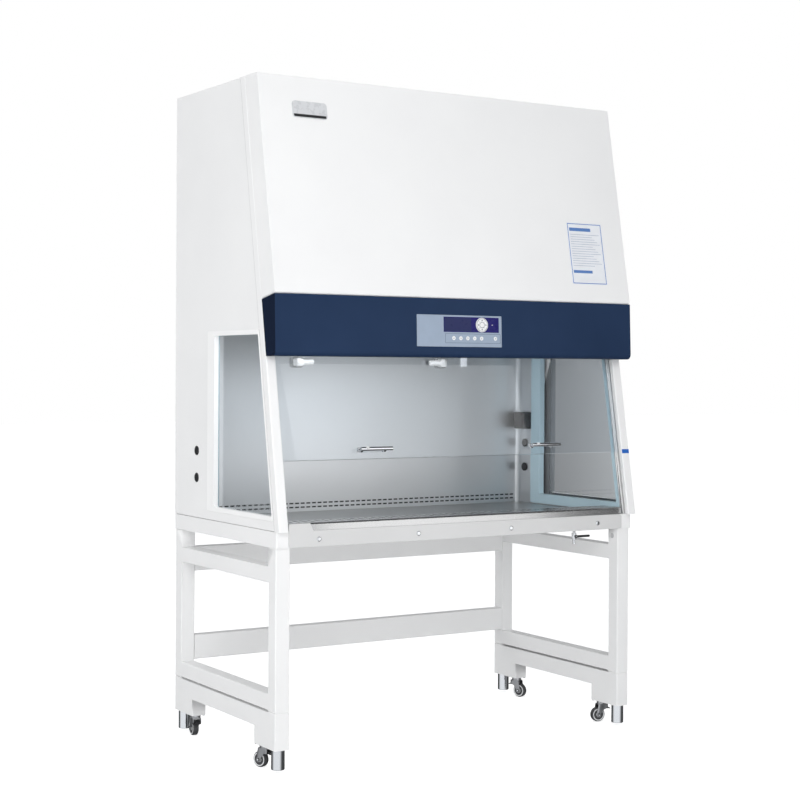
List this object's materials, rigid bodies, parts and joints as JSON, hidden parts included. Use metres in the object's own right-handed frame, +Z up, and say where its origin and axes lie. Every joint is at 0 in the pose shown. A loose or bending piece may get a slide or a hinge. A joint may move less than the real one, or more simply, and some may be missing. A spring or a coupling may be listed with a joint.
{
  "type": "biosafety_cabinet",
  "caption": "Free-standing biosafety cabinet with a sloped front, a sliding glass sash, side windows and a stainless chamber, on a tube stand with braked casters and levelling feet.",
  "frame": {"origin": "on the floor under the middle of the whole outline", "axes": "+X to the cabinet's right, +Y to the back, +Z up"},
  "size_m": [1.4006, 0.7779, 2.172],
  "materials": {
    "painted_frame": "fine-textured white powder coat",
    "painted_shell": "smooth white powder coat",
    "navy_paint": "satin navy powder coat",
    "stainless": "brushed stainless steel",
    "window_trim": "satin pale blue coat",
    "clear_glass": "clear laminated safety glass",
    "bright_metal": "polished",
    "dark_steel": "zinc-plated and blackened pressed steel",
    "wheel_tyre": "moulded grey wheel with a dark tread",
    "black_plastic": "moulded",
    "panel_plate": "satin membrane plate",
    "display_film": "glossy dark blue window",
    "white_plastic": "moulded",
    "filter_media": "pleated filter media",
    "grille_metal": "plain sheet"
  },
  "bodies": {
    "cabinet": {"side_frame_left": "painted_frame", "side_frame_right": "painted_frame", "foot_frame_left": "painted_frame", "foot_frame_right": "painted_frame", "rear_beam_upper": "painted_frame", "rear_beam_lower": "painted_frame", "base_pan": "painted_shell", "sill_panel": "painted_shell", "sill_screws": "bright_metal", "armrest": "stainless", "work_tray": "stainless", "chamber_liner": "stainless", "side_panel_left": "painted_shell", "side_panel_right": "painted_shell", "side_pane_left": "clear_glass", "side_pane_right": "clear_glass", "window_frame_left": "window_trim", "window_frame_right": "window_trim", "corner_post_left": "painted_shell", "corner_post_right": "painted_shell", "rear_panel": "painted_shell", "top_panel": "painted_shell", "exhaust_grille": "grille_metal", "supply_filter": "filter_media", "exhaust_filter": "filter_media", "hood": "painted_shell", "fascia": "navy_paint", "control_plate": "panel_plate", "display": "display_film", "lamp_holders": "white_plastic", "socket_box": "black_plastic", "port_plugs": "black_plastic", "drain_valve": "bright_metal"},
    "caster_front_left": {"caster_fork_front_left": "dark_steel"},
    "wheel_front_left": {"caster_wheel_front_left": "wheel_tyre"},
    "pedal_front_left": {"brake_pedal_front_left": "black_plastic"},
    "foot_front_left": {"levelling_foot_front_left": "bright_metal"},
    "caster_front_right": {"caster_fork_front_right": "dark_steel"},
    "wheel_front_right": {"caster_wheel_front_right": "wheel_tyre"},
    "pedal_front_right": {"brake_pedal_front_right": "black_plastic"},
    "foot_front_right": {"levelling_foot_front_right": "bright_metal"},
    "caster_rear_left": {"caster_fork_rear_left": "dark_steel"},
    "wheel_rear_left": {"caster_wheel_rear_left": "wheel_tyre"},
    "pedal_rear_left": {"brake_pedal_rear_left": "black_plastic"},
    "foot_rear_left": {"levelling_foot_rear_left": "bright_metal"},
    "caster_rear_right": {"caster_fork_rear_right": "dark_steel"},
    "wheel_rear_right": {"caster_wheel_rear_right": "wheel_tyre"},
    "pedal_rear_right": {"brake_pedal_rear_right": "black_plastic"},
    "foot_rear_right": {"levelling_foot_rear_right": "bright_metal"},
    "sash": {"sash_glass": "clear_glass", "sash_handles": "bright_metal"},
    "nav_pad": {"nav_pad": "white_plastic"},
    "button_1": {"button_1": "white_plastic"},
    "button_2": {"button_2": "white_plastic"},
    "button_3": {"button_3": "white_plastic"},
    "button_4": {"button_4": "white_plastic"},
    "button_5": {"button_5": "white_plastic"},
    "button_6": {"button_6": "white_plastic"},
    "socket_flap": {"socket_flap": "black_plastic"},
    "drain_lever": {"drain_lever": "black_plastic"}
  },
  "joints": [
    {"name": "swivel_front_left", "type": "hinge", "parent": "cabinet", "child": "caster_front_left", "pos_m": [-0.67, -0.243, 0.0737], "axis": [0, 0, 1], "continuous": true},
    {"name": "roll_front_left", "type": "hinge", "parent": "caster_front_left", "child": "wheel_front_left", "pos_m": [-0.67625, -0.22827, 0.025], "axis": [0.9205, 0.3907, 0], "continuous": true},
    {"name": "brake_front_left", "type": "hinge", "parent": "caster_front_left", "child": "pedal_front_left", "pos_m": [-0.66531, -0.25405, 0.052], "axis": [0.9205, 0.3907, 0], "range_deg": [0, 14]},
    {"name": "level_front_left", "type": "slide", "parent": "cabinet", "child": "foot_front_left", "axis": [0, 0, 1], "range_m": [-0.012, 0]},
    {"name": "swivel_front_right", "type": "hinge", "parent": "cabinet", "child": "caster_front_right", "pos_m": [0.67, -0.243, 0.0737], "axis": [0, 0, 1], "continuous": true},
    {"name": "roll_front_right", "type": "hinge", "parent": "caster_front_right", "child": "wheel_front_right", "pos_m": [0.65448, -0.23913, 0.025], "axis": [0.2419, 0.9703, 0], "continuous": true},
    {"name": "brake_front_right", "type": "hinge", "parent": "caster_front_right", "child": "pedal_front_right", "pos_m": [0.68164, -0.2459, 0.052], "axis": [0.2419, 0.9703, 0], "range_deg": [0, 14]},
    {"name": "level_front_right", "type": "slide", "parent": "cabinet", "child": "foot_front_right", "axis": [0, 0, 1], "range_m": [-0.012, 0]},
    {"name": "swivel_rear_left", "type": "hinge", "parent": "cabinet", "child": "caster_rear_left", "pos_m": [-0.67, 0.271, 0.0737], "axis": [0, 0, 1], "continuous": true},
    {"name": "roll_rear_left", "type": "hinge", "parent": "caster_rear_left", "child": "wheel_rear_left", "pos_m": [-0.66833, 0.28691, 0.025], "axis": [0.9945, -0.1045, 0], "continuous": true},
    {"name": "brake_rear_left", "type": "hinge", "parent": "caster_rear_left", "child": "pedal_rear_left", "pos_m": [-0.67125, 0.25907, 0.052], "axis": [0.9945, -0.1045, 0], "range_deg": [0, 14]},
    {"name": "level_rear_left", "type": "slide", "parent": "cabinet", "child": "foot_rear_left", "axis": [0, 0, 1], "range_m": [-0.012, 0]},
    {"name": "swivel_rear_right", "type": "hinge", "parent": "cabinet", "child": "caster_rear_right", "pos_m": [0.67, 0.271, 0.0737], "axis": [0, 0, 1], "continuous": true},
    {"name": "roll_rear_right", "type": "hinge", "parent": "caster_rear_right", "child": "wheel_rear_right", "pos_m": [0.67521, 0.25587, 0.025], "axis": [-0.9455, -0.3256, 0], "continuous": true},
    {"name": "brake_rear_right", "type": "hinge", "parent": "caster_rear_right", "child": "pedal_rear_right", "pos_m": [0.66609, 0.28235, 0.052], "axis": [-0.9455, -0.3256, 0], "range_deg": [0, 14]},
    {"name": "level_rear_right", "type": "slide", "parent": "cabinet", "child": "foot_rear_right", "axis": [0, 0, 1], "range_m": [-0.012, 0]},
    {"name": "sash_slide", "type": "slide", "parent": "cabinet", "child": "sash", "axis": [0, 0.1736, 0.9848], "range_m": [-0.192, 0.286]},
    {"name": "press_nav_pad", "type": "slide", "parent": "cabinet", "child": "nav_pad", "axis": [0, 0.9994, -0.0343], "range_m": [0, 0.0008], "stiffness_N_per_m": 400},
    {"name": "press_button_1", "type": "slide", "parent": "cabinet", "child": "button_1", "axis": [0, 0.9994, -0.0343], "range_m": [0, 0.0006], "stiffness_N_per_m": 300},
    {"name": "press_button_2", "type": "slide", "parent": "cabinet", "child": "button_2", "axis": [0, 0.9994, -0.0343], "range_m": [0, 0.0006], "stiffness_N_per_m": 300},
    {"name": "press_button_3", "type": "slide", "parent": "cabinet", "child": "button_3", "axis": [0, 0.9994, -0.0343], "range_m": [0, 0.0006], "stiffness_N_per_m": 300},
    {"name": "press_button_4", "type": "slide", "parent": "cabinet", "child": "button_4", "axis": [0, 0.9994, -0.0343], "range_m": [0, 0.0006], "stiffness_N_per_m": 300},
    {"name": "press_button_5", "type": "slide", "parent": "cabinet", "child": "button_5", "axis": [0, 0.9994, -0.0343], "range_m": [0, 0.0006], "stiffness_N_per_m": 300},
    {"name": "press_button_6", "type": "slide", "parent": "cabinet", "child": "button_6", "axis": [0, 0.9994, -0.0343], "range_m": [0, 0.0006], "stiffness_N_per_m": 300},
    {"name": "socket_flap_hinge", "type": "hinge", "parent": "cabinet", "child": "socket_flap", "pos_m": [0.6205, 0.2045, 1.081], "axis": [0, 1, 0], "range_deg": [0, 100]},
    {"name": "drain_lever_turn", "type": "hinge", "parent": "cabinet", "child": "drain_lever", "pos_m": [0.49, -0.3208, 0.671], "axis": [0, 1, 0], "range_deg": [0, 90]}
  ]
}
